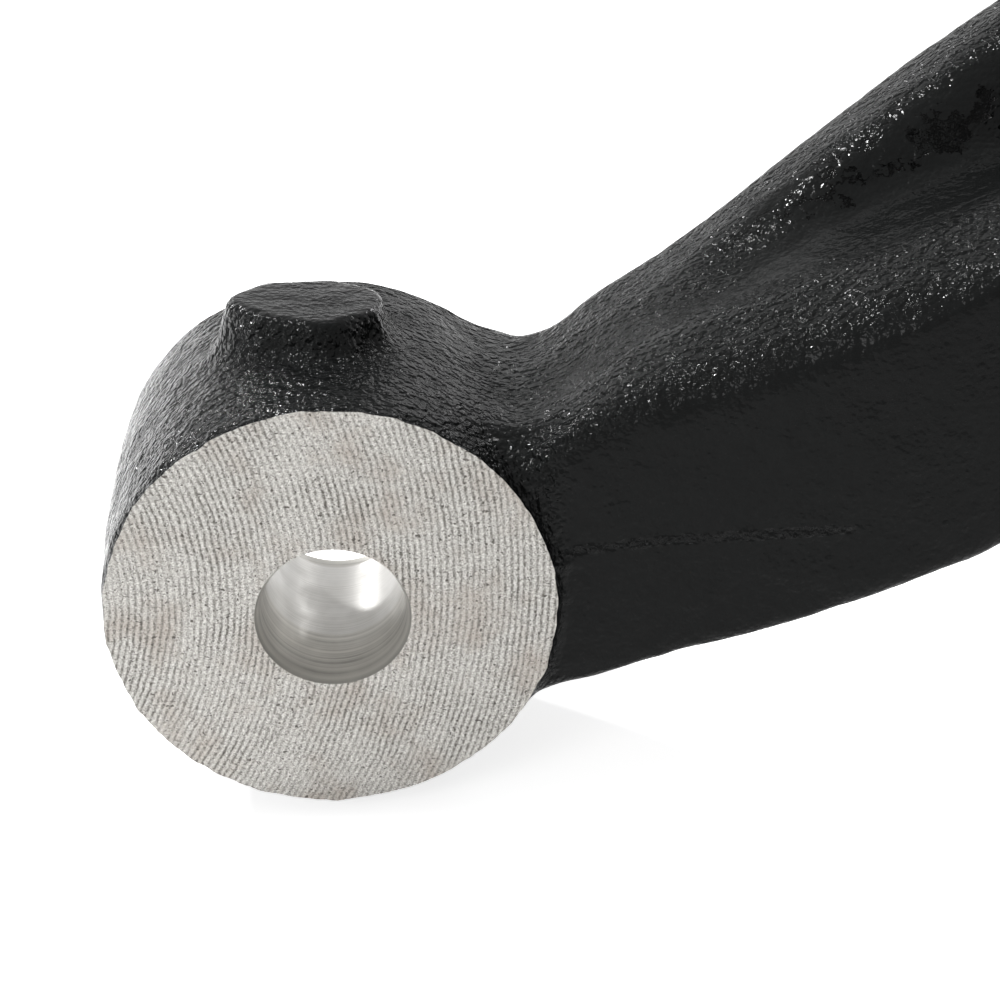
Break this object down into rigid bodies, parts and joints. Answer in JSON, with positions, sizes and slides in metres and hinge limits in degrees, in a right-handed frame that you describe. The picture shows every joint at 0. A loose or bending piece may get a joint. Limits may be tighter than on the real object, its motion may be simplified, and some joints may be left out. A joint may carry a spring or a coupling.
{
  "type": "bead breaker arm",
  "caption": "Cast arching lever with a bored boss at one end, a ram trunnion in its channel and a hinged curved blade at the other end, for pressing a tyre's bead off its rim.",
  "frame": {"origin": "centre of the pivot bore's axis, halfway along the boss", "axes": "+Y along the pivot bore, towards the recessed side of the boss; +X along the arm towards the blade; +Z away from the tyre"},
  "size_m": [0.603, 0.19, 0.193],
  "materials": {
    "cast_black": "semi-gloss black enamel over a rough sand casting, bare where it is machined",
    "bush_steel": "turned and reamed steel",
    "bronze": "turned bearing bronze",
    "shaft_steel": "ground steel",
    "zinc": "bright zinc plate",
    "spring_steel": "oiled spring steel",
    "blade_paint": "black enamel on bent plate",
    "nylon": "black nylon",
    "rubber": "black rubber"
  },
  "bodies": {
    "arm": {"arm_casting": "cast_black", "pivot_bush": "bush_steel", "trunnion_bush_near": "bronze", "trunnion_bush_far": "bronze", "pivot_bolt": "zinc", "pivot_nut": "zinc", "pivot_washers": "zinc", "pivot_spacers": "shaft_steel", "return_spring": "spring_steel", "stop_screw": "zinc", "stop_nut": "zinc", "handle_bar": "blade_paint", "handle_grip": "rubber", "handle_screws": "zinc", "handle_washers": "zinc", "bumper": "rubber", "bumper_screw": "zinc", "bumper_nut": "zinc", "spring_eye": "zinc", "spring_eye_nut": "zinc"},
    "ram_trunnion": {"trunnion_shaft": "shaft_steel", "thrust_washers": "bronze", "circlips": "spring_steel"},
    "blade": {"blade_carrier": "cast_black", "carrier_bush": "bronze", "blade": "blade_paint", "blade_guard": "nylon", "blade_bolts": "zinc", "blade_washers": "zinc", "blade_nuts": "zinc", "guard_screws": "zinc", "guard_nuts": "zinc"}
  },
  "joints": [
    {"name": "trunnion_swivel", "type": "hinge", "parent": "arm", "child": "ram_trunnion", "pos_m": [0.25, 0, 0.122], "axis": [0, 1, 0], "range_deg": [-25, 25]},
    {"name": "blade_swing", "type": "hinge", "parent": "arm", "child": "blade", "pos_m": [0.41642, 0, 0.06421], "axis": [0, 1, 0], "range_deg": [0, 42], "stiffness_Nm_per_rad": 0.6, "springref_deg": -20.05, "deforming": ["return_spring"]}
  ]
}
